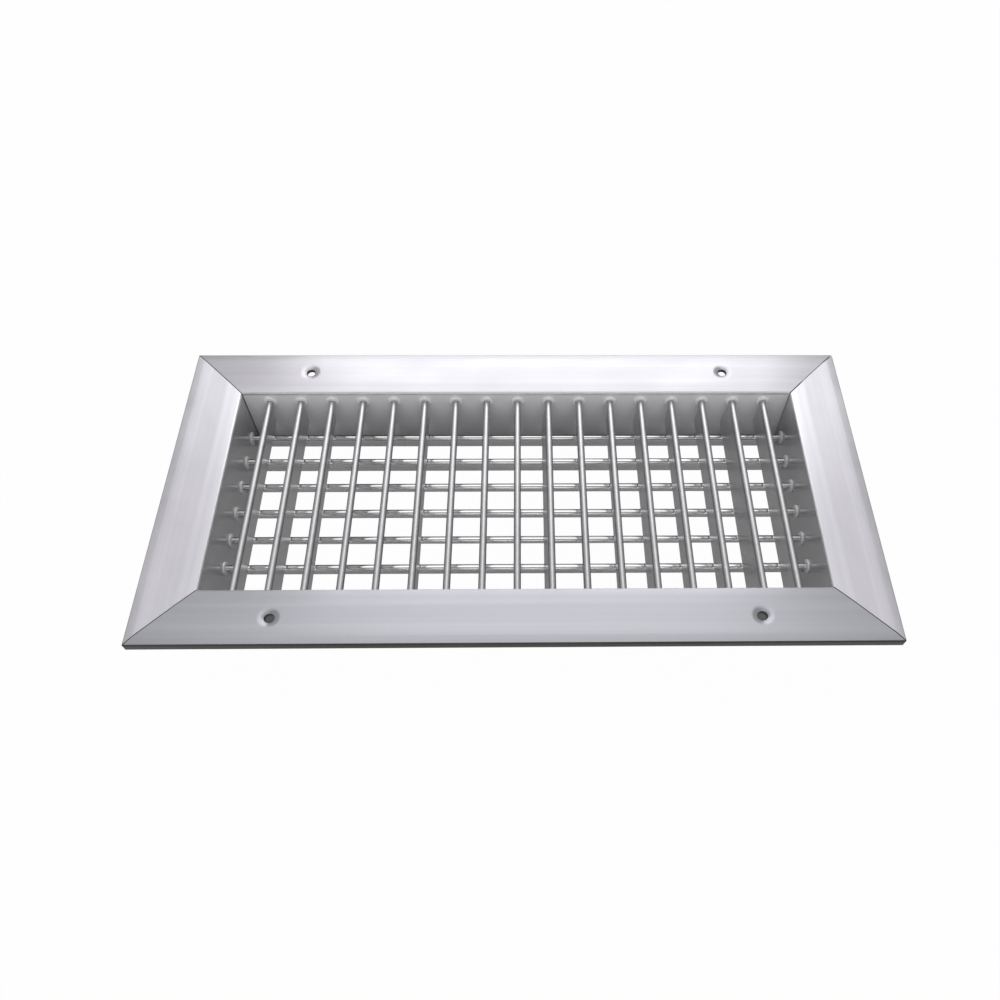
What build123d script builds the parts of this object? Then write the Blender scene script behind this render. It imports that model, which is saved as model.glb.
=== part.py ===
from build123d import *
import os

# Double deflection supply grille: a mitred frame of one aluminium extrusion, holding a front bank of
# upright blades and a rear bank of level blades. Each blade tilts by itself in two nylon bushes.
# X runs along the width, Y up the face and Z out into the room. The origin is the middle of the wall
# plane, where the frame's outer lip meets the wall. All sizes are in millimetres.

# Frame
FACE_WIDTH = 400.0
FACE_HEIGHT = 200.0
BORDER = 31.75
LIP_DEPTH = 6.0
LIP_WALL = 1.4
PLATE = 1.5
NECK_WALL = 1.4
NECK_MARGIN = 19.5
MITRE_GAP = 0.2

# Form of the face: a flat crown between an outer bevel and a gentler inner slope
BEVEL_WIDTH = 4.5
BEVEL_DROP = 0.8
SLOPE_WIDTH = 9.0
SLOPE_DROP = 0.5
OUTER_EDGE_RADIUS = 0.4
INNER_EDGE_RADIUS = 1.2

# Corner keys, and the channel behind the face that holds them
KEY_WIDTH = 7.0
KEY_THICKNESS = 1.6
KEY_ARM = 32.0
KEY_CLEARANCE = 0.1
RIB_WALL = 1.2
HOOK_REACH = 1.0
HOOK_THICKNESS = 0.9

# Dimpled fixing holes
HOLE_DIAMETER = 4.8
HOLE_FROM_EDGE = 15.0
HOLE_FROM_END = 72.0
DIMPLE_DIAMETER = 12.0
DIMPLE_DEPTH = 1.1
DIMPLE_RIM = 0.3

# Blades
FRONT_PITCH = 19.05
REAR_PITCH = 19.05
END_SPACE = 10.5
FRONT_AXIS_DEPTH = 8.0
BANK_CLEARANCE = 2.0
NOSE_DIAMETER = 4.0
FIN_LENGTH = 18.5
FIN_ROOT = 1.6
FIN_TIP = 1.0

# Bushes
RUNNING_CLEARANCE = 0.05
BUSH_WALL = 0.9
SEAT_CLEARANCE = 0.05
COLLAR_RIM = 1.05
COLLAR_THICKNESS = 1.2
SPIGOT_PROUD = 1.2
COLLAR_CLEARANCE = 0.4
PIVOT_SETBACK = 0.3

# Flats around the small rounds that repeat on every blade and bush
NOSE_SIDES = 16
COLLAR_SIDES = 12
SPIGOT_SIDES = 8

# How far each blade is swung from square to the face, in degrees. A front blade's tail swings towards
# +X, counted from the left, and a rear blade's towards +Y, counted from the top.
FRONT_TILTS = [-3.5, 2, -5.5, -10, -8, 2, -5, -3, -4, -10.5, -1, -1.5, -7.5, -3, -3.5, -12, -5]
REAR_TILTS = [23.5, 21, 27.5, 25.5, 26, 20.5, 24]

# Sizes that follow from the ones above
OPENING_WIDTH = FACE_WIDTH - 2 * BORDER
OPENING_HEIGHT = FACE_HEIGHT - 2 * BORDER
NOSE_RADIUS = NOSE_DIAMETER / 2
BACK_Z = LIP_DEPTH - PLATE
FRONT_AXIS_Z = LIP_DEPTH - FRONT_AXIS_DEPTH
REAR_AXIS_Z = FRONT_AXIS_Z - FIN_LENGTH - NOSE_RADIUS - BANK_CLEARANCE
NECK_REAR_Z = REAR_AXIS_Z - NECK_MARGIN
NECK_OUTSIDE = BORDER - NECK_WALL
KEY_OUTSIDE = NECK_OUTSIDE - KEY_WIDTH - 2 * KEY_CLEARANCE
KEY_TOP_Z = BACK_Z - KEY_CLEARANCE
HOOK_TOP_Z = KEY_TOP_Z - KEY_THICKNESS - KEY_CLEARANCE
BORE_RADIUS = NOSE_RADIUS + RUNNING_CLEARANCE
SPIGOT_RADIUS = BORE_RADIUS + BUSH_WALL
SEAT_RADIUS = SPIGOT_RADIUS + SEAT_CLEARANCE
COLLAR_RADIUS = SPIGOT_RADIUS + COLLAR_RIM
SPIGOT_LENGTH = NECK_WALL + SPIGOT_PROUD
PIVOT_REACH = SPIGOT_LENGTH - PIVOT_SETBACK
FIN_SETBACK = COLLAR_THICKNESS + COLLAR_CLEARANCE


def row(space, pitch):
    """Centres of as many blades as fit in a space, set evenly about its middle."""
    count = int((space - 2 * END_SPACE) / pitch) + 1
    return [(i - (count - 1) / 2) * pitch for i in range(count)]


FRONT_ROW = row(OPENING_WIDTH, FRONT_PITCH)
REAR_ROW = row(OPENING_HEIGHT, REAR_PITCH)[::-1]


def keyed(radius):
    """Outline of a spigot, or of what it seats in, measured across its flats."""
    return RegularPolygon(radius, SPIGOT_SIDES, major_radius=False)


def frame_section():
    """Section of the frame extrusion: x is measured in from the outer edge, y out into the room."""
    outline = Polyline(
        (0, 0),
        (0, LIP_DEPTH - BEVEL_DROP),
        (BEVEL_WIDTH, LIP_DEPTH),
        (BORDER - SLOPE_WIDTH, LIP_DEPTH),
        (BORDER, LIP_DEPTH - SLOPE_DROP),
        (BORDER, NECK_REAR_Z),
        (NECK_OUTSIDE, NECK_REAR_Z),
        (NECK_OUTSIDE, BACK_Z),
        (KEY_OUTSIDE, BACK_Z),
        (KEY_OUTSIDE, HOOK_TOP_Z),
        (KEY_OUTSIDE + HOOK_REACH, HOOK_TOP_Z),
        (KEY_OUTSIDE + HOOK_REACH, HOOK_TOP_Z - HOOK_THICKNESS),
        (KEY_OUTSIDE - RIB_WALL, HOOK_TOP_Z - HOOK_THICKNESS),
        (KEY_OUTSIDE - RIB_WALL, BACK_Z),
        (BEVEL_WIDTH, BACK_Z),
        (LIP_WALL, BACK_Z - BEVEL_DROP),
        (LIP_WALL, 0),
        close=True,
    )
    section = make_face(outline)
    corners = section.vertices()
    inner_edge = corners.sort_by_distance((BORDER, LIP_DEPTH - SLOPE_DROP))[0]
    section = fillet(inner_edge, INNER_EDGE_RADIUS)
    outer_edge = section.vertices().sort_by_distance((0, LIP_DEPTH - BEVEL_DROP))[0]
    return fillet(outer_edge, OUTER_EDGE_RADIUS)


def dimple(x):
    """A pressed dimple with its screw hole: what it adds behind the face, and what it takes away."""
    centre = Pos(x, HOLE_FROM_EDGE, 0)
    hang = (Align.CENTER, Align.CENTER, Align.MAX)
    foot = HOLE_DIAMETER / 2 + DIMPLE_RIM
    boss = Cone(foot + PLATE, DIMPLE_DIAMETER / 2 + PLATE / 2, DIMPLE_DEPTH, align=hang)
    dish = Cone(foot, DIMPLE_DIAMETER / 2, DIMPLE_DEPTH, align=hang)
    hole = Cylinder(HOLE_DIAMETER / 2, 4 * LIP_DEPTH)
    added = centre * Pos(0, 0, BACK_Z) * boss
    removed = centre * (Pos(0, 0, LIP_DEPTH) * dish + hole)
    return added, removed


def frame_bar(length, bush_row, bush_z, hole_row):
    """One mitred bar along X, with its outer edge on y = 0 and its neck towards +Y."""
    bar = extrude(Plane.YZ * frame_section(), amount=length / 2, both=True)
    mitre = length / 2 - MITRE_GAP / 2
    depth = 2 * BORDER
    plan = make_face(Polyline((-mitre, 0), (mitre, 0), (mitre - depth, depth), (depth - mitre, depth), close=True))
    bar = bar & Pos(0, 0, NECK_REAR_Z) * extrude(plan, amount=LIP_DEPTH - NECK_REAR_Z)
    for x in hole_row:
        added, removed = dimple(x)
        bar = bar + added - removed
    seat = Rot(90, 0, 0) * extrude(keyed(SEAT_RADIUS), amount=2 * NECK_WALL, both=True)
    return bar - [Pos(x, BORDER, bush_z) * seat for x in bush_row]


def corner_key():
    """Flat L-shaped key, its elbow on the origin and its arms along +X and +Y."""
    reach = KEY_ARM + KEY_WIDTH / 2
    low = -KEY_WIDTH / 2
    along = Pos(low + reach / 2, 0) * Rectangle(reach, KEY_WIDTH)
    up = Pos(0, low + reach / 2) * Rectangle(KEY_WIDTH, reach)
    return Pos(0, 0, KEY_TOP_Z - KEY_THICKNESS) * extrude(along + up, amount=KEY_THICKNESS)


def bush():
    """Bush on the Z axis: its collar stands on z = 0, and its spigot hangs below, through the wall."""
    collar = extrude(RegularPolygon(COLLAR_RADIUS, COLLAR_SIDES), amount=COLLAR_THICKNESS)
    spigot = extrude(keyed(SPIGOT_RADIUS), amount=-SPIGOT_LENGTH)
    bore = extrude(keyed(BORE_RADIUS), amount=2 * SPIGOT_LENGTH, both=True)
    return collar + spigot - bore


def blade(opening):
    """Blade for an opening, its nose on the Z axis and its fin hanging towards -Y."""
    nose = RegularPolygon(NOSE_RADIUS, NOSE_SIDES, rotation=180 / NOSE_SIDES)
    fin = make_face(
        Polyline(
            (-FIN_ROOT / 2, 0),
            (FIN_ROOT / 2, 0),
            (FIN_TIP / 2, -FIN_LENGTH),
            (-FIN_TIP / 2, -FIN_LENGTH),
            close=True,
        )
    )
    shaft = extrude(nose, amount=opening / 2 + PIVOT_REACH, both=True)
    return shaft + extrude(fin, amount=opening / 2 - FIN_SETBACK, both=True)


def save(name, solids):
    """Writes one named piece, or a group of like pieces, to its own file."""
    group = Compound(children=list(solids))
    group.label = name
    export_step(group, f"parts/{name}.step")


os.makedirs("parts", exist_ok=True)

# Frame bars: the long pair carries the front bank, and the short pair the rear bank
hole_x = FACE_WIDTH / 2 - HOLE_FROM_END
long_bar = frame_bar(FACE_WIDTH, FRONT_ROW, FRONT_AXIS_Z, [-hole_x, hole_x])
short_bar = frame_bar(FACE_HEIGHT, REAR_ROW, REAR_AXIS_Z, [])
save("frame_bottom", [Pos(0, -FACE_HEIGHT / 2, 0) * long_bar])
save("frame_top", [Pos(0, FACE_HEIGHT / 2, 0) * Rot(0, 0, 180) * long_bar])
save("frame_left", [Pos(-FACE_WIDTH / 2, 0, 0) * Rot(0, 0, -90) * short_bar])
save("frame_right", [Pos(FACE_WIDTH / 2, 0, 0) * Rot(0, 0, 90) * short_bar])

# Corner keys, in the channel behind each mitre
key_line = KEY_OUTSIDE + KEY_CLEARANCE + KEY_WIDTH / 2
key_x = FACE_WIDTH / 2 - key_line
key_y = FACE_HEIGHT / 2 - key_line
save("corner_key_bottom_left", [Pos(-key_x, -key_y, 0) * corner_key()])
save("corner_key_bottom_right", [Pos(key_x, -key_y, 0) * Rot(0, 0, 90) * corner_key()])
save("corner_key_top_right", [Pos(key_x, key_y, 0) * Rot(0, 0, 180) * corner_key()])
save("corner_key_top_left", [Pos(-key_x, key_y, 0) * Rot(0, 0, 270) * corner_key()])

# Bushes, one group in each wall of the neck
wall_x = OPENING_WIDTH / 2
wall_y = OPENING_HEIGHT / 2
save("bushes_bottom", [Plane((x, -wall_y, FRONT_AXIS_Z), z_dir=(0, 1, 0)) * bush() for x in FRONT_ROW])
save("bushes_top", [Plane((x, wall_y, FRONT_AXIS_Z), z_dir=(0, -1, 0)) * bush() for x in FRONT_ROW])
save("bushes_left", [Plane((-wall_x, y, REAR_AXIS_Z), z_dir=(1, 0, 0)) * bush() for y in REAR_ROW])
save("bushes_right", [Plane((wall_x, y, REAR_AXIS_Z), z_dir=(-1, 0, 0)) * bush() for y in REAR_ROW])

# Front bank, from the left
upright = blade(OPENING_HEIGHT)
for i, x in enumerate(FRONT_ROW):
    seat = Plane((x, 0, FRONT_AXIS_Z), x_dir=(1, 0, 0), z_dir=(0, -1, 0))
    tilt = FRONT_TILTS[i % len(FRONT_TILTS)]
    save(f"front_blade_{i + 1:02d}", [seat * Rot(0, 0, tilt) * upright])

# Rear bank, from the top
level = blade(OPENING_WIDTH)
for i, y in enumerate(REAR_ROW):
    seat = Plane((0, y, REAR_AXIS_Z), x_dir=(0, 1, 0), z_dir=(1, 0, 0))
    tilt = REAR_TILTS[i % len(REAR_TILTS)]
    save(f"rear_blade_{i + 1}", [seat * Rot(0, 0, tilt) * level])
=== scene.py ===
"""Looks of a double deflection supply grille, lying face up on a pale floor."""

import math

import bpy
from mathutils import Matrix, Vector


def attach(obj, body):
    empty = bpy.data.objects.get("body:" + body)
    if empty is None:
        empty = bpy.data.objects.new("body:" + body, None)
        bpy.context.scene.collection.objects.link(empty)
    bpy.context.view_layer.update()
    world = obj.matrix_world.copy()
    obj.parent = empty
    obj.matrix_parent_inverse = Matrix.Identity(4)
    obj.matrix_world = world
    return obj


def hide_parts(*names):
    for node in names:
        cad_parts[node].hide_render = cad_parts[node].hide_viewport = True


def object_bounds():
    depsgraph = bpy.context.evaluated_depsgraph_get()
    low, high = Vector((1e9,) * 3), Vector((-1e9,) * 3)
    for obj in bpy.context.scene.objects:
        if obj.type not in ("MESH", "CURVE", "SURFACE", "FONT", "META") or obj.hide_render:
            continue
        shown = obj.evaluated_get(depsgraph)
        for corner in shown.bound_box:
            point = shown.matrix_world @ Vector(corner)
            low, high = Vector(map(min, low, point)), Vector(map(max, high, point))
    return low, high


MM = 0.001

# Frame section, in millimetres as all sizes of the grille are
FACE_WIDTH = 400.0
FACE_HEIGHT = 200.0
BORDER = 31.75
LIP_DEPTH = 6.0
LIP_WALL = 1.4
PLATE = 1.5
NECK_WALL = 1.4
NECK_REAR_Z = -44.0
BEVEL_WIDTH = 4.5
BEVEL_DROP = 0.8
SLOPE_WIDTH = 9.0
SLOPE_DROP = 0.5
KEY_OUTSIDE = 23.15
KEY_THICKNESS = 1.8
RIB_WALL = 1.2
HOOK_REACH = 1.0
HOOK_THICKNESS = 0.9
OPENING_WIDTH = FACE_WIDTH - 2 * BORDER
OPENING_HEIGHT = FACE_HEIGHT - 2 * BORDER
BACK_Z = LIP_DEPTH - PLATE

# Rounding of the section's corners
LIP_ROUND = 0.15
LIP_FILLET = 0.3
BEVEL_FILLET = 0.6
HOOK_ROUND = 0.2
NECK_FILLET = 0.5
NECK_ROUND = 0.25
INNER_ROUND = 1.2
BEVEL_ROUND = 0.9
OUTER_ROUND = 0.45

# How far each bar stops short of a mitre, measured along the bar
FAR_LEFT_GAP = 0.14
FAR_RIGHT_GAP = 0.45
NEAR_LEFT_GAP = 0.14
NEAR_RIGHT_GAP = 0.25

# Screw holes, their dimples, and the square patch of the face that each dimple fills
HOLE_RADIUS = 2.4
HOLE_FROM_EDGE = 15.0
HOLE_X = 128.0
HOLE_CHAMFER = 0.1
DIMPLE_RADIUS = 6.4
DIMPLE_DEPTH = 1.3
DIMPLE_BEND = 2.3
DIMPLE_SWELL = 0.5
DIMPLE_STEPS = 12
DIMPLE_SEGMENTS = 48
PATCH = 6.45

# Blades, with the tilt of each one in degrees
PITCH = 19.05
FRONT_COUNT = 17
REAR_COUNT = 7
FRONT_AXIS_Z = -2.0
REAR_AXIS_Z = -24.5
NOSE_RADIUS = 2.0
NOSE_FILLET = 0.5
FIN_LENGTH = 18.5
FIN_ROOT = 1.6
FIN_TIP = 1.0
FIN_TIP_ROUND = 0.35
FIN_SETBACK = 1.6
PIVOT_REACH = 2.3
PIVOT_SEGMENTS = 32
FRONT_TILTS = [-3.5, 2, -5.5, -10, -8, 2, -5, -3, -4, -10.5, -1, -1.5, -7.5, -3, -3.5, -12, -5]
REAR_TILTS = [23.5, 21, 27.5, 25.5, 26, 20.5, 24]

# Bushes
COLLAR_RADIUS = 4.1
COLLAR_THICKNESS = 1.4
COLLAR_EDGE = 0.8
COLLAR_CHAMFER = 0.15
HUB_RADIUS = 2.8
HUB_RISE = 0.1
HUB_CHAMFER = 0.1
HUB_INSET = 0.25
SPIGOT_RADIUS = 2.95
SPIGOT_LENGTH = 2.6
SPIGOT_CHAMFER = 0.3
BORE_RADIUS = 2.05
BUSH_SEGMENTS = 28
DOME_STEPS = 6

# Where a finish, a painted shade or a painted highlight fades into the next: across a bar, up it, round a
# hole, off a mitre and across a blade
LIP_FACE = (0.25, 0.5)
NECK_BACK = (30.8, 31.3)
INNER_EDGE = (31.1, 31.55)
NECK_FACE = (3.0, 4.2)
HOLE_RIM = (2.55, 2.95)
MITRE_LINE = (0.6, 0.25)
FIN_FACE = (-2.6, -1.9)
NOSE_BACK = (0.6, 0.95)

# Finishes, painted shade and a painted highlight, with pairs of colours from dark to light
# Dirt along the mitres, and painted shade on the lip and round the screw holes
GRIME_AND_SHADE = ((0.075, 0.064, 0.058), (0.1, 0.098, 0.1))
# The neck's dull back, darker still as painted shade under the flange
DULL_SHADED_BACK = ((0.2, 0.2, 0.205), (0.27, 0.27, 0.275))
# A painted highlight along the inner edges of the face
EDGE_HIGHLIGHT = (0.92, 0.918, 0.925)
# Painted shade on the backs of the rear blades' noses
REAR_NOSE_SHADE = (0.1, 0.1, 0.1, 1)
MILKY = ((0.92, 0.92, 0.91), (0.97, 0.97, 0.96))
MITRE_DIRT = 0.8
FRAME_ROUGHNESS = 0.36
FRAME_GRAIN = 0.42
FRAME_METALLIC = 0.8
FRAME_ANISOTROPY = 0.8
NECK_ROUGHNESS = 0.24
NOSE_GRAIN = 0.25
NOSE_METALLIC = 1.0
FIN_ROUGHNESS = (0.26, 0.36)
KEY_ROUGHNESS = 0.4
KEY_GRAIN = 0.5
KEY_METALLIC = 0.8
ROUGHNESS_SPREAD = (-0.05, 0.06)
LINE_DEPTH = 0.04
WAVE_DEPTH = 0.2
NYLON_ROUGHNESS = (0.2, 0.35)
NYLON_BUMP = 0.25
CREASE = 35.0

# Camera that the photograph was taken with, in millimetres and degrees
CAMERA_AT = (4.04, -284.68, 399.2)
CAMERA_PITCH = 58.391
CAMERA_YAW = 1.777
CAMERA_ROLL = 1.286
CAMERA_LENS = 30.559
CAMERA_SENSOR = 36.0
CAMERA_SHIFT = (-0.03837, 0.04661)
CAMERA_CLIP = 10.0

# Lamps, in metres: place, size, strength, and whether metal mirrors them
PANELS = {
    "back_panel": ((0.03, 0.67, 0.485), (0.74, 0.52), 2.05, True),
    "front_panel": ((0.0, -0.7, 0.9), (1.2, 0.5), 1.5, False),
}

# Glows of the room: direction, angles of edge and core in degrees, and strength
GLOWS = [
    ((0, 0.7, 0.7), (60.0, 15.0), 0.25),
    ((0, 0.22, 1), (38.0, 12.0), 1.05),
    ((-0.85, 0.5, 0.3), (45.0, 10.0), 0.3),
    ((0.85, 0.5, 0.3), (45.0, 10.0), 0.26),
    ((0, -0.95, 0.3), (28.0, 8.0), 1.0),
    ((-0.8, -0.5, 0.45), (40.0, 12.0), 0.35),
    ((0.8, -0.5, 0.45), (40.0, 12.0), 0.35),
]
ROOM_LIGHT = 0.15
ROOM_IN_METAL = 0.26
ROOM_COLOUR = (1.0, 0.99, 1.0, 1)
FLOOR_WHITE = 0.985
FLOOR_IN_METAL = 0.2
FLOOR_GREY = (0.4, 0.4, 0.4, 1)
FLOOR_REACH = 12.0

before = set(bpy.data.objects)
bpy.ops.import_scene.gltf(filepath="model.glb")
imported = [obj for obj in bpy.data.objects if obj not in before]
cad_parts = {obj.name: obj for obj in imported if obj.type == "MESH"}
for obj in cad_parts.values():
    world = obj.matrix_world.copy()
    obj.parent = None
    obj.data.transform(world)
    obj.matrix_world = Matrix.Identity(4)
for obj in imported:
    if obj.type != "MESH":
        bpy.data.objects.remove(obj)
cad_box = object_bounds()


def shader(name):
    """A new material with its tree, ready for nodes."""
    material = bpy.data.materials.new(name)
    material.use_nodes = True
    return material, material.node_tree


def add(tree, kind, inputs=None, **settings):
    """Adds a node, sets its properties, then sets or links its inputs."""
    node = tree.nodes.new("ShaderNode" + kind)
    for key, value in settings.items():
        setattr(node, key, value)
    for key, value in (inputs or {}).items():
        if isinstance(value, bpy.types.NodeSocket):
            tree.links.new(value, node.inputs[key])
        else:
            node.inputs[key].default_value = value
    return node


def math_node(tree, operation, first, second=0.0):
    """Result of one sum on two values."""
    return add(tree, "Math", {0: first, 1: second}, operation=operation).outputs[0]


def mix(tree, mask, below, above):
    """Colour that changes over from one to another where a mask is set."""
    return add(tree, "MixRGB", {"Fac": mask, "Color1": below, "Color2": above}).outputs[0]


def noise(tree, coords, stretch, detail=3.0, rough=0.55):
    """Noise over object coordinates, with its own number of grains to a metre along each axis."""
    place = add(tree, "Mapping", {"Vector": coords, "Scale": stretch})
    return add(tree, "TexNoise", {"Vector": place.outputs[0], "Scale": 1.0, "Detail": detail,
                                  "Roughness": rough}).outputs["Fac"]


def spread(tree, value, low, high, from_low=0.3, from_high=0.7):
    """Maps a value to a range, by default from where most of a noise lies."""
    return add(tree, "MapRange", {"Value": value, "From Min": from_low, "From Max": from_high,
                                  "To Min": low, "To Max": high}).outputs[0]


def fade(tree, value, low, high, band):
    """Maps a coordinate to a range over a band in millimetres."""
    return spread(tree, value, low, high, *(v * MM for v in band))


def ramp(tree, value, stops, colours):
    """Colour ramp over a value, between two stops."""
    node = add(tree, "ValToRGB", {"Fac": value})
    for element, position, colour in zip(node.color_ramp.elements, stops, colours):
        element.position = position
        element.color = (*colour, 1)
    return node.outputs[0]


def aluminium(name, colours, rough, grain, metallic):
    """Extruded aluminium: die lines along the bar, and soft blotches. Returns what its kinds build on."""
    material, tree = shader(name)
    bsdf = tree.nodes["Principled BSDF"]
    coords = add(tree, "TexCoord").outputs["Object"]
    lines = noise(tree, coords, (5, 1500, 1500), 4)
    bands = noise(tree, coords, (2, 160, 160), 2)
    blotch = noise(tree, coords, (26, 40, 40), 4, 0.6)
    colour = ramp(tree, mix(tree, 0.5, bands, blotch), (0.36, 0.64), colours)
    tree.links.new(colour, bsdf.inputs["Base Color"])
    matt = spread(tree, blotch, *(rough + v for v in ROUGHNESS_SPREAD))
    tree.links.new(matt, bsdf.inputs["Roughness"])
    bump = add(tree, "Bump", {"Height": lines, "Strength": grain, "Distance": LINE_DEPTH * MM})
    wave = add(tree, "Bump", {"Height": bands, "Strength": grain, "Distance": WAVE_DEPTH * MM,
                              "Normal": bump.outputs[0]})
    tree.links.new(wave.outputs[0], bsdf.inputs["Normal"])
    bsdf.inputs["Metallic"].default_value = metallic
    return material, tree, bsdf, coords, colour, matt


def rim(tree, place):
    """Mask of the rims of the two screw holes, darkened there as painted shade, from separated object
    coordinates.
    """
    along = math_node(tree, "ABSOLUTE", place.outputs["X"])
    offset = add(tree, "CombineXYZ", {"X": along, "Y": place.outputs["Y"]}).outputs[0]
    centre = (HOLE_X * MM, HOLE_FROM_EDGE * MM, 0)
    reach = add(tree, "VectorMath", {0: offset, 1: centre}, operation="DISTANCE").outputs["Value"]
    return fade(tree, reach, 1.0, 0.0, HOLE_RIM)


def mitre(tree, place, length):
    """Mask of the dirty line along the mitres of a bar, from separated object coordinates."""
    along = math_node(tree, "ABSOLUTE", place.outputs["X"])
    reach = math_node(tree, "ADD", along, place.outputs["Y"])
    return fade(tree, reach, 0.0, MITRE_DIRT, [length / 2 - v for v in MITRE_LINE])


def frame_metal(name, length, face, neck, neck_metallic):
    """The frame's bars, brushed lengthways, with face and neck tones that are painted light: painted shade
    on the lip and round the holes, dirt along the mitres, a painted highlight on the inner edge, a neck of
    its own shine and a dull back darkened as painted shade.
    """
    material, tree, bsdf, coords, colour, matt = aluminium(
        name, face, FRAME_ROUGHNESS, FRAME_GRAIN, FRAME_METALLIC)
    place = add(tree, "SeparateXYZ", {"Vector": coords})
    lip_shade_mask = fade(tree, place.outputs["Y"], 1.0, 0.0, LIP_FACE)
    neck_mask = fade(tree, place.outputs["Z"], 1.0, 0.0, NECK_FACE)
    shaded_back_mask = fade(tree, place.outputs["Y"], 1.0, 0.0, NECK_BACK)
    highlight_edge_mask = fade(tree, place.outputs["Y"], 0.0, 1.0, INNER_EDGE)
    cloud = noise(tree, coords, (8, 30, 30), 3)
    grime_and_shade = ramp(tree, noise(tree, coords, (14, 60, 200), 3), (0.4, 0.6), GRIME_AND_SHADE)
    # Each bar's neck tone is painted light
    neck_light_tone = ramp(tree, cloud, (0.35, 0.65), neck)
    # The back is dull, and darkened further as painted shade
    dull_shaded_back = ramp(tree, cloud, (0.35, 0.65), DULL_SHADED_BACK)
    # A painted highlight along the inner edge
    painted_edge_highlight = ramp(tree, cloud, (0.3, 0.5), (face[1], EDGE_HIGHLIGHT))
    colour = mix(tree, highlight_edge_mask, colour, painted_edge_highlight)
    colour = mix(tree, neck_mask, colour, mix(tree, shaded_back_mask, neck_light_tone, dull_shaded_back))
    # Painted shade on the lip and round the hole rims, and dirt along the mitres
    for mask in (lip_shade_mask, rim(tree, place), mitre(tree, place, length)):
        colour = mix(tree, mask, colour, grime_and_shade)
    tree.links.new(colour, bsdf.inputs["Base Color"])
    tree.links.new(spread(tree, neck_mask, FRAME_METALLIC, neck_metallic, 0.0, 1.0), bsdf.inputs["Metallic"])
    tree.links.new(spread(tree, neck_mask, matt, NECK_ROUGHNESS, 0.0, 1.0), bsdf.inputs["Roughness"])
    grain = add(tree, "Tangent", direction_type="UV_MAP", uv_map="grain")
    tree.links.new(grain.outputs[0], bsdf.inputs["Tangent"])
    bsdf.inputs["Anisotropic"].default_value = FRAME_ANISOTROPY
    return material


def blade_metal(name, nose, rough, fin, fin_metallic, nose_shade=0.0):
    """The blades: drawn fins with a shine of their own, and a nose whose tone is set as painted light,
    perhaps with painted shade on its back.
    """
    material, tree, bsdf, coords, colour, matt = aluminium(name, nose, rough, NOSE_GRAIN, NOSE_METALLIC)
    place = add(tree, "SeparateXYZ", {"Vector": coords})
    # Painted shade along the back of the nose
    if nose_shade:
        shaded_back_mask = fade(tree, place.outputs["X"], 0.0, nose_shade, NOSE_BACK)
        colour = mix(tree, shaded_back_mask, colour, REAR_NOSE_SHADE)
    fin_mask = fade(tree, place.outputs["Y"], 1.0, 0.0, FIN_FACE)
    dull = noise(tree, coords, (300, 30, 30), 3)
    colour = mix(tree, fin_mask, colour, ramp(tree, dull, (0.35, 0.65), fin))
    tree.links.new(colour, bsdf.inputs["Base Color"])
    fin_matt = spread(tree, dull, *FIN_ROUGHNESS)
    tree.links.new(spread(tree, fin_mask, matt, fin_matt, 0.0, 1.0), bsdf.inputs["Roughness"])
    tree.links.new(spread(tree, fin_mask, NOSE_METALLIC, fin_metallic, 0.0, 1.0), bsdf.inputs["Metallic"])
    return material


def nylon(name):
    """Natural nylon: milky, a little see-through, with faint flow marks."""
    material, tree = shader(name)
    bsdf = tree.nodes["Principled BSDF"]
    coords = add(tree, "TexCoord").outputs["Object"]
    flow = noise(tree, coords, (420, 420, 420), 3)
    tree.links.new(ramp(tree, flow, (0.35, 0.65), MILKY), bsdf.inputs["Base Color"])
    tree.links.new(spread(tree, flow, *NYLON_ROUGHNESS), bsdf.inputs["Roughness"])
    bump = add(tree, "Bump", {"Height": flow, "Strength": NYLON_BUMP, "Distance": WAVE_DEPTH * MM})
    tree.links.new(bump.outputs[0], bsdf.inputs["Normal"])
    bsdf.inputs["Subsurface Weight"].default_value = 1.0
    bsdf.inputs["Subsurface Radius"].default_value = (1.0, 1.0, 0.95)
    bsdf.inputs["Subsurface Scale"].default_value = 0.001
    bsdf.inputs["IOR"].default_value = 1.53
    bsdf.inputs["Coat Weight"].default_value = 1.0
    bsdf.inputs["Coat Roughness"].default_value = 0.15
    bsdf.inputs["Coat IOR"].default_value = 1.6
    return material


# The bars are lit and shaded copies of one aluminium: the near face is darker as painted shade, the far and
# side faces are paler as painted light, and the far and near necks are pale and matt as painted light
FAR_LIT_METAL = frame_metal("frame_aluminium", FACE_WIDTH,
                        face=((0.545, 0.54, 0.575), (0.625, 0.618, 0.65)),
                        neck=((0.84, 0.835, 0.85), (0.92, 0.915, 0.925)), neck_metallic=0.1)
NEAR_SHADED_METAL = frame_metal("frame_aluminium_near_shaded", FACE_WIDTH,
                         face=((0.415, 0.424, 0.457), (0.484, 0.492, 0.523)),
                         neck=((0.84, 0.84, 0.85), (0.92, 0.92, 0.93)), neck_metallic=0.3)
SIDE_LIT_METAL = frame_metal("frame_aluminium_side_lit", FACE_HEIGHT,
                         face=((0.575, 0.57, 0.608), (0.66, 0.652, 0.689)),
                         neck=((0.57, 0.57, 0.585), (0.65, 0.65, 0.66)), neck_metallic=0.8)
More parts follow.
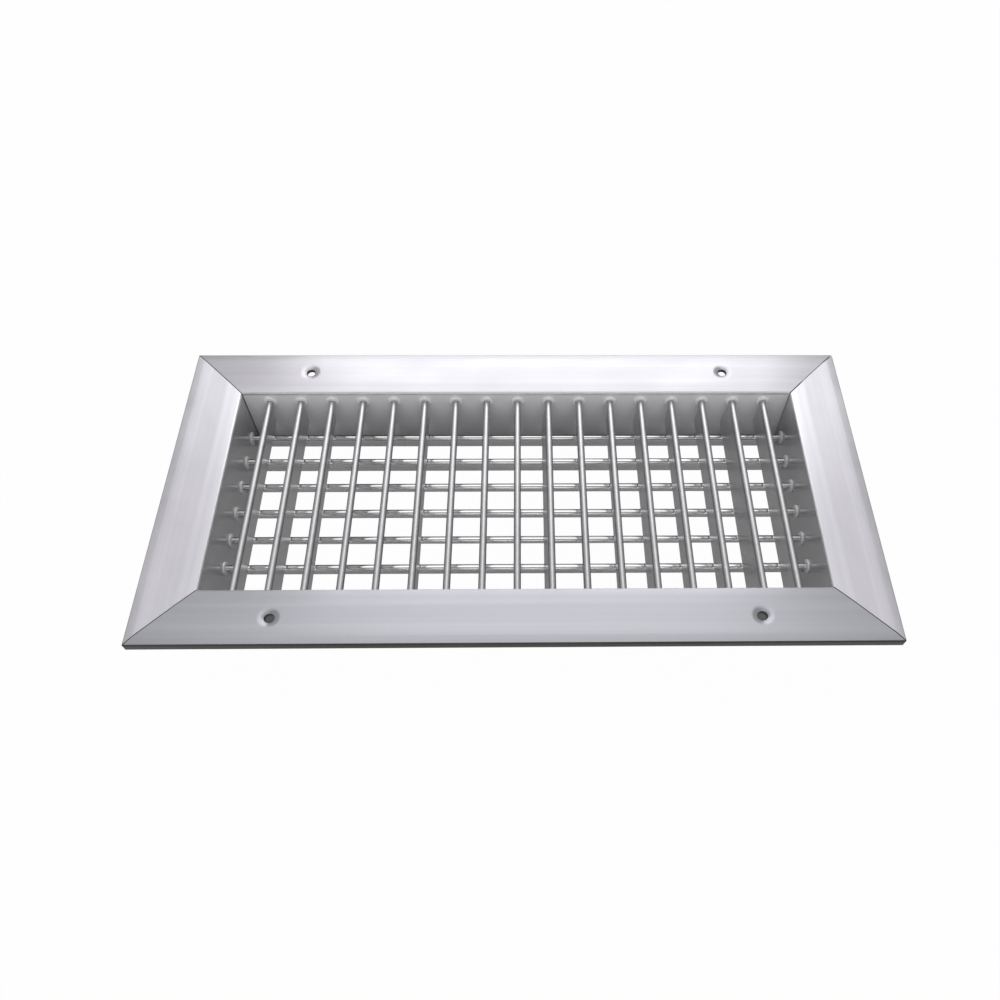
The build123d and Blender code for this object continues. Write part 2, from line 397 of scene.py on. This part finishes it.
# The blades' tones are painted light: the rear blades are a paler, shinier copy of the front blades'
# aluminium, and the front noses are darker than their fins to dim their highlights
FRONT_METAL = blade_metal("blade_aluminium", nose=((0.48, 0.48, 0.49), (0.54, 0.54, 0.55)), rough=0.36,
                          fin=((0.66, 0.66, 0.67), (0.74, 0.74, 0.75)), fin_metallic=0.9)
REAR_LIT_METAL = blade_metal("blade_aluminium_rear_lit", nose=((0.85, 0.85, 0.86), (0.91, 0.91, 0.92)), rough=0.15,
                         fin=((0.78, 0.78, 0.79), (0.86, 0.86, 0.87)), fin_metallic=0.5, nose_shade=0.8)
KEY_METAL = aluminium("key_aluminium", ((0.3, 0.3, 0.3), (0.4, 0.4, 0.4)),
                      KEY_ROUGHNESS, KEY_GRAIN, KEY_METALLIC)[0]
NYLON = nylon("bush_nylon")


def piece(name, verts, faces, material, body, replaced, place=Matrix.Identity(4)):
    """Makes a mesh from millimetre points, and lets it ride its body in place of the solids."""
    mesh = bpy.data.meshes.new(name)
    mesh.from_pydata([Vector(v) * MM for v in verts], [], faces)
    mesh.validate()
    mesh.shade_smooth()
    mesh.set_sharp_from_angle(angle=math.radians(CREASE))
    mesh.materials.append(material)
    grain = mesh.uv_layers.new(name="grain")
    for loop in mesh.loops:
        point = mesh.vertices[loop.vertex_index].co
        grain.data[loop.index].uv = (point.y - point.z, point.x)
    obj = bpy.data.objects.new(name, mesh)
    bpy.context.scene.collection.objects.link(obj)
    obj.matrix_world = place
    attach(obj, body)
    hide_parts(*replaced)
    return obj


def at(x, y, z, turn_z=0.0):
    """Place of a piece, in millimetres and degrees."""
    return Matrix.Translation(Vector((x, y, z)) * MM) @ Matrix.Rotation(math.radians(turn_z), 4, "Z")


def seat(x, y, z, facing):
    """Turns a piece on the Z axis to face along a wall's normal, at a point in millimetres."""
    return Matrix.Translation((x, y, z)) @ Vector(facing).to_track_quat("Z", "Y").to_matrix().to_4x4()


def axes(origin, across, along):
    """Place of a blade from its origin, its section's x axis and its own length."""
    x = Vector(across)
    z = Vector(along)
    turned = Matrix((x, z.cross(x), z)).transposed().to_4x4()
    return Matrix.Translation(Vector(origin) * MM) @ turned


def row(count):
    """Centres of a row of blades, about the middle."""
    return [(i - (count - 1) / 2) * PITCH for i in range(count)]


def full_turn(segments):
    """Angles of the points of a closed ring."""
    return [2 * math.pi * k / segments for k in range(segments)]


def rounded(points, steps=5):
    """Closed outline of (x, y, blend) corners, with each corner rounded over its blend length."""
    outline = []
    for i, (x, y, blend) in enumerate(points):
        corner = Vector((x, y))
        if not blend:
            outline.append(corner)
            continue
        before = Vector(points[i - 1][:2]) - corner
        after = Vector(points[(i + 1) % len(points)][:2]) - corner
        start = corner + before.normalized() * blend
        end = corner + after.normalized() * blend
        for s in range(steps + 1):
            t = s / steps
            outline.append(start * (1 - t) ** 2 + corner * 2 * t * (1 - t) + end * t ** 2)
    return outline


def loft(verts, faces, rings):
    """Joins closed rings of points, in order."""
    start = len(verts)
    size = len(rings[0])
    for ring in rings:
        verts.extend(ring)
    for i in range(len(rings) - 1):
        for j in range(size):
            k = (j + 1) % size
            a = start + i * size
            faces.append((a + j, a + k, a + size + k, a + size + j))


def bar_outline():
    """Section of the frame extrusion: x in from the outer edge, y out into the room."""
    hook = BACK_Z - KEY_THICKNESS
    hook_rear = hook - HOOK_THICKNESS
    rib = KEY_OUTSIDE - RIB_WALL
    hook_end = KEY_OUTSIDE + HOOK_REACH
    low = HOLE_FROM_EDGE - PATCH
    high = HOLE_FROM_EDGE + PATCH
    neck = BORDER - NECK_WALL
    return rounded([
        (0, 0, LIP_ROUND), (LIP_WALL, 0, LIP_ROUND),
        (LIP_WALL, BACK_Z - BEVEL_DROP, LIP_FILLET), (BEVEL_WIDTH, BACK_Z, BEVEL_FILLET),
        (low, BACK_Z, 0), (high, BACK_Z, 0), (rib, BACK_Z, 0),
        (rib, hook_rear, HOOK_ROUND), (hook_end, hook_rear, HOOK_ROUND), (hook_end, hook, HOOK_ROUND),
        (KEY_OUTSIDE, hook, 0), (KEY_OUTSIDE, BACK_Z, 0), (neck, BACK_Z, NECK_FILLET),
        (neck, NECK_REAR_Z, NECK_ROUND), (BORDER, NECK_REAR_Z, NECK_ROUND),
        (BORDER, LIP_DEPTH - SLOPE_DROP, INNER_ROUND), (BORDER - SLOPE_WIDTH, LIP_DEPTH, INNER_ROUND),
        (high, LIP_DEPTH, 0), (low, LIP_DEPTH, 0),
        (BEVEL_WIDTH, LIP_DEPTH, BEVEL_ROUND), (0, LIP_DEPTH - BEVEL_DROP, OUTER_ROUND),
    ])


def dimple_rings(x):
    """Rings of a pressed dimple, from the face, down through its hole and out over the back."""
    turns = full_turn(DIMPLE_SEGMENTS)

    def ring(radius, z):
        return [(x + radius * math.cos(a), HOLE_FROM_EDGE + radius * math.sin(a), z) for a in turns]

    def border(z):
        points = []
        for a in turns:
            reach = PATCH / max(abs(math.cos(a)), abs(math.sin(a)))
            points.append((x + reach * math.cos(a), HOLE_FROM_EDGE + reach * math.sin(a), z))
        return points

    def sink(radius):
        t = min(max((DIMPLE_RADIUS - radius) / (DIMPLE_RADIUS - HOLE_RADIUS), 0), 1)
        return DIMPLE_DEPTH * t ** DIMPLE_BEND

    slope = DIMPLE_RADIUS - HOLE_RADIUS - HOLE_CHAMFER
    radii = [DIMPLE_RADIUS - slope * i / DIMPLE_STEPS for i in range(DIMPLE_STEPS + 1)]
    rings = [border(LIP_DEPTH)]
    rings += [ring(r, LIP_DEPTH - sink(r)) for r in radii]
    rings += [ring(HOLE_RADIUS, LIP_DEPTH - DIMPLE_DEPTH - HOLE_CHAMFER)]
    rings += [ring(HOLE_RADIUS, BACK_Z - DIMPLE_DEPTH)]
    rings += [ring(r + DIMPLE_SWELL, BACK_Z - sink(r)) for r in reversed(radii)]
    rings += [border(BACK_Z)]
    return rings


def bar(name, length, holes, gaps, metal, place):
    """One mitred bar along X, its outer edge on y = 0. Gaps are set at its low and high ends."""
    outline = bar_outline()
    stations = [None] + [x + side * PATCH for x in holes for side in (-1, 1)] + [None]
    verts = []
    faces = []
    for i, x in enumerate(stations):
        for u, z in outline:
            end = length / 2 - u
            if x is not None:
                verts.append((x, u, z))
            elif i == 0:
                verts.append((gaps[0] - end, u, z))
            else:
                verts.append((end - gaps[1], u, z))
    count = len(outline)
    patch = [round(HOLE_FROM_EDGE - PATCH, 4), round(HOLE_FROM_EDGE + PATCH, 4)]
    for i in range(len(stations) - 1):
        for j in range(count):
            k = (j + 1) % count
            span = sorted((round(outline[j].x, 4), round(outline[k].x, 4)))
            if i % 2 and i < len(stations) - 2 and span == patch:
                continue
            faces.append((i * count + j, i * count + k, (i + 1) * count + k, (i + 1) * count + j))
    faces.append(tuple(range(count))[::-1])
    faces.append(tuple((len(stations) - 1) * count + j for j in range(count)))
    for x in holes:
        loft(verts, faces, dimple_rings(x))
    return piece(name, verts, faces, metal, "frame", [name], place)


def blade_outline(arc=30, bend=4):
    """Section of a blade: a round nose on the origin, with a thin fin hanging towards -y."""
    half = FIN_ROOT / 2
    tip = FIN_TIP / 2
    reach = half + NOSE_FILLET
    drop = math.sqrt((NOSE_RADIUS + NOSE_FILLET) ** 2 - reach ** 2)
    root = math.atan2(drop, reach)

    def turn(x, y, radius, angle):
        return Vector((x + radius * math.cos(angle), y + radius * math.sin(angle)))

    fin = rounded([(-half, -drop, 0), (-tip, -FIN_LENGTH, FIN_TIP_ROUND), (tip, -FIN_LENGTH, FIN_TIP_ROUND),
                   (half, -drop, 0)], 4)
    nose = [turn(0, 0, NOSE_RADIUS, (math.pi + 2 * root) * i / arc - root) for i in range(arc + 1)]
    left = [turn(-reach, -drop, NOSE_FILLET, root * (1 - i / bend)) for i in range(1, bend)]
    right = [turn(reach, -drop, NOSE_FILLET, math.pi - root * i / bend) for i in range(1, bend)]
    return nose + left + fin + right


def blade(name, opening, metal, place):
    """A blade along its own Z axis, with a pivot at each end of its nose."""
    outline = blade_outline()
    half = opening / 2 - FIN_SETBACK
    reach = opening / 2 + PIVOT_REACH
    nose = [(NOSE_RADIUS * math.cos(a), NOSE_RADIUS * math.sin(a)) for a in full_turn(PIVOT_SEGMENTS)]
    verts = []
    faces = []
    for section, low, high in ((outline, -half, half), (nose, -reach, -half), (nose, half, reach)):
        first = len(verts)
        count = len(section)
        loft(verts, faces, [[(x, y, z) for x, y in section] for z in (low, high)])
        faces.append(tuple(range(first, first + count))[::-1])
        faces.append(tuple(range(first + count, first + 2 * count)))
    return piece(name, verts, faces, metal, name, [name], place)


def bush_rings():
    """Rings of a bush on the Z axis: a spigot down from z = 0, and a collar domed up to a hub."""
    dome = [(COLLAR_RADIUS, COLLAR_EDGE)]
    for i in range(1, DOME_STEPS + 1):
        angle = math.pi / 2 * i / DOME_STEPS
        dome.append((HUB_RADIUS + (COLLAR_RADIUS - HUB_RADIUS) * math.cos(angle),
                     COLLAR_EDGE + (COLLAR_THICKNESS - COLLAR_EDGE) * math.sin(angle)))
    hub = COLLAR_THICKNESS + HUB_RISE
    profile = [
        (BORE_RADIUS, -SPIGOT_LENGTH), (SPIGOT_RADIUS - SPIGOT_CHAMFER, -SPIGOT_LENGTH),
        (SPIGOT_RADIUS, -SPIGOT_LENGTH + SPIGOT_CHAMFER), (SPIGOT_RADIUS, 0),
        (COLLAR_RADIUS - COLLAR_CHAMFER, 0), (COLLAR_RADIUS, COLLAR_CHAMFER), *dome,
        (HUB_RADIUS - HUB_CHAMFER, hub - HUB_CHAMFER), (HUB_RADIUS - HUB_INSET, hub),
        (BORE_RADIUS + HUB_CHAMFER, hub), (BORE_RADIUS, hub - HUB_CHAMFER), (BORE_RADIUS, -SPIGOT_LENGTH),
    ]
    turns = full_turn(BUSH_SEGMENTS)
    return [[(r * math.cos(a), r * math.sin(a), z) for a in turns] for r, z in profile]


def bushes(name, seats):
    """A group of like bushes, each on its own seat in one wall of the neck."""
    verts = []
    faces = []
    for seated in seats:
        loft(verts, faces, [[tuple(seated @ Vector(p)) for p in ring] for ring in bush_rings()])
    return piece(name, verts, faces, NYLON, "frame", [name])


def glow(tree, toward, direction, angles, strength):
    """Soft round patch of light in a direction, from its edge to its full strength, in degrees."""
    facing = add(tree, "VectorMath", {0: toward, 1: Vector(direction).normalized()}, operation="DOT_PRODUCT")
    edge, full = (math.cos(math.radians(a)) for a in angles)
    patch = add(tree, "MapRange", {"Value": facing.outputs["Value"], "From Min": edge, "From Max": full,
                                   "To Min": 0.0, "To Max": strength}, interpolation_type="SMOOTHSTEP")
    return patch.outputs[0]


# Frame
half_w = FACE_WIDTH / 2
half_h = FACE_HEIGHT / 2
screws = [-HOLE_X, HOLE_X]
bar("frame_bottom", FACE_WIDTH, screws, (NEAR_LEFT_GAP, NEAR_RIGHT_GAP), NEAR_SHADED_METAL, at(0, -half_h, 0))
bar("frame_top", FACE_WIDTH, screws, (FAR_RIGHT_GAP, FAR_LEFT_GAP), FAR_LIT_METAL, at(0, half_h, 0, 180))
bar("frame_left", FACE_HEIGHT, [], (FAR_LEFT_GAP, NEAR_LEFT_GAP), SIDE_LIT_METAL, at(-half_w, 0, 0, -90))
bar("frame_right", FACE_HEIGHT, [], (NEAR_RIGHT_GAP, FAR_RIGHT_GAP), SIDE_LIT_METAL, at(half_w, 0, 0, 90))
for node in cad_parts.values():
    if node.name.startswith("corner_key"):
        node.data.materials.clear()
        node.data.materials.append(KEY_METAL)

# Bushes
wall_x = OPENING_WIDTH / 2
wall_y = OPENING_HEIGHT / 2
front_row = row(FRONT_COUNT)
rear_row = row(REAR_COUNT)[::-1]
bushes("bushes_bottom", [seat(x, -wall_y, FRONT_AXIS_Z, (0, 1, 0)) for x in front_row])
bushes("bushes_top", [seat(x, wall_y, FRONT_AXIS_Z, (0, -1, 0)) for x in front_row])
bushes("bushes_left", [seat(-wall_x, y, REAR_AXIS_Z, (1, 0, 0)) for y in rear_row])
bushes("bushes_right", [seat(wall_x, y, REAR_AXIS_Z, (-1, 0, 0)) for y in rear_row])

# Blades
for i, (x, tilt) in enumerate(zip(front_row, FRONT_TILTS)):
    turn = Matrix.Rotation(math.radians(tilt), 4, "Z")
    blade(f"front_blade_{i + 1:02d}", OPENING_HEIGHT, FRONT_METAL,
          axes((x, 0, FRONT_AXIS_Z), (1, 0, 0), (0, -1, 0)) @ turn)
for i, (y, tilt) in enumerate(zip(rear_row, REAR_TILTS)):
    turn = Matrix.Rotation(math.radians(tilt), 4, "Z")
    blade(f"rear_blade_{i + 1}", OPENING_WIDTH, REAR_LIT_METAL,
          axes((0, y, REAR_AXIS_Z), (0, 1, 0), (1, 0, 0)) @ turn)

# Floor: pale, white to the camera, and dimmer where metal mirrors it
floor_material, tree = shader("floor_white")
path = add(tree, "LightPath")
mirrored = math_node(tree, "MULTIPLY", path.outputs["Is Glossy Ray"], FLOOR_IN_METAL)
seen = math_node(tree, "MAXIMUM", path.outputs["Is Camera Ray"], path.outputs["Is Transmission Ray"])
shown = math_node(tree, "MULTIPLY", math_node(tree, "MAXIMUM", seen, mirrored), FLOOR_WHITE)
white = add(tree, "Emission", {"Color": (1, 1, 1, 1), "Strength": 1.0})
grey = add(tree, "BsdfDiffuse", {"Color": FLOOR_GREY})
mixed = add(tree, "MixShader", {"Fac": shown, 1: grey.outputs[0], 2: white.outputs[0]})
tree.links.new(mixed.outputs[0], tree.nodes["Material Output"].inputs["Surface"])
floor_mesh = bpy.data.meshes.new("floor")
floor_corners = [(x * FLOOR_REACH, y * FLOOR_REACH, 0) for x, y in ((-1, -1), (1, -1), (1, 1), (-1, 1))]
floor_mesh.from_pydata(floor_corners, [], [(0, 1, 2, 3)])
floor_mesh.materials.append(floor_material)
floor = bpy.data.objects.new("floor", floor_mesh)
bpy.context.scene.collection.objects.link(floor)
floor.location.z = cad_box[0].z

# Lamps: a panel behind that the metal mirrors, and one over the camera for what is matt
for name, (place, size, strength, reflected) in PANELS.items():
    lamp = bpy.data.lights.new(name, "AREA")
    lamp.shape = "RECTANGLE"
    lamp.size, lamp.size_y = size
    lamp.energy = strength * math.pi * size[0] * size[1]
    panel = bpy.data.objects.new(name, lamp)
    bpy.context.scene.collection.objects.link(panel)
    panel.location = place
    panel.rotation_euler = (-Vector(place)).to_track_quat("-Z", "Y").to_euler()
    panel.visible_camera = False
    panel.visible_glossy = reflected

# Room: dim with soft glows, and white to the camera
world = bpy.data.worlds.new("studio")
bpy.context.scene.world = world
world.use_nodes = True
tree = world.node_tree
toward = add(tree, "TexCoord").outputs["Generated"]
shown = ROOM_LIGHT
for patch in GLOWS:
    shown = math_node(tree, "ADD", shown, glow(tree, toward, *patch))
path = add(tree, "LightPath")
mirrored = math_node(tree, "MULTIPLY", path.outputs["Is Glossy Ray"], ROOM_IN_METAL)
for ray in (mirrored, path.outputs["Is Camera Ray"], path.outputs["Is Transmission Ray"]):
    shown = math_node(tree, "MAXIMUM", shown, ray)
background = tree.nodes["Background"]
background.inputs["Color"].default_value = ROOM_COLOUR
tree.links.new(shown, background.inputs["Strength"])

# Camera
camera = bpy.data.cameras.new("camera")
camera.lens = CAMERA_LENS
camera.sensor_width = CAMERA_SENSOR
camera.shift_x, camera.shift_y = CAMERA_SHIFT
camera.clip_start = CAMERA_CLIP * MM
view = bpy.data.objects.new("camera", camera)
bpy.context.scene.collection.objects.link(view)
pitch, yaw, roll = (math.radians(a) for a in (CAMERA_PITCH, CAMERA_YAW, CAMERA_ROLL))
forward = Vector((math.sin(yaw) * math.cos(pitch), math.cos(yaw) * math.cos(pitch), -math.sin(pitch)))
level = forward.cross(Vector((0, 0, 1))).normalized()
up = level.cross(forward)
right = level * math.cos(roll) + up * math.sin(roll)
head = up * math.cos(roll) - level * math.sin(roll)
turned = Matrix((right, head, -forward)).transposed().to_4x4()
view.matrix_world = Matrix.Translation(Vector(CAMERA_AT) * MM) @ turned
bpy.context.scene.camera = view
bpy.context.scene.view_settings.view_transform = "Standard"
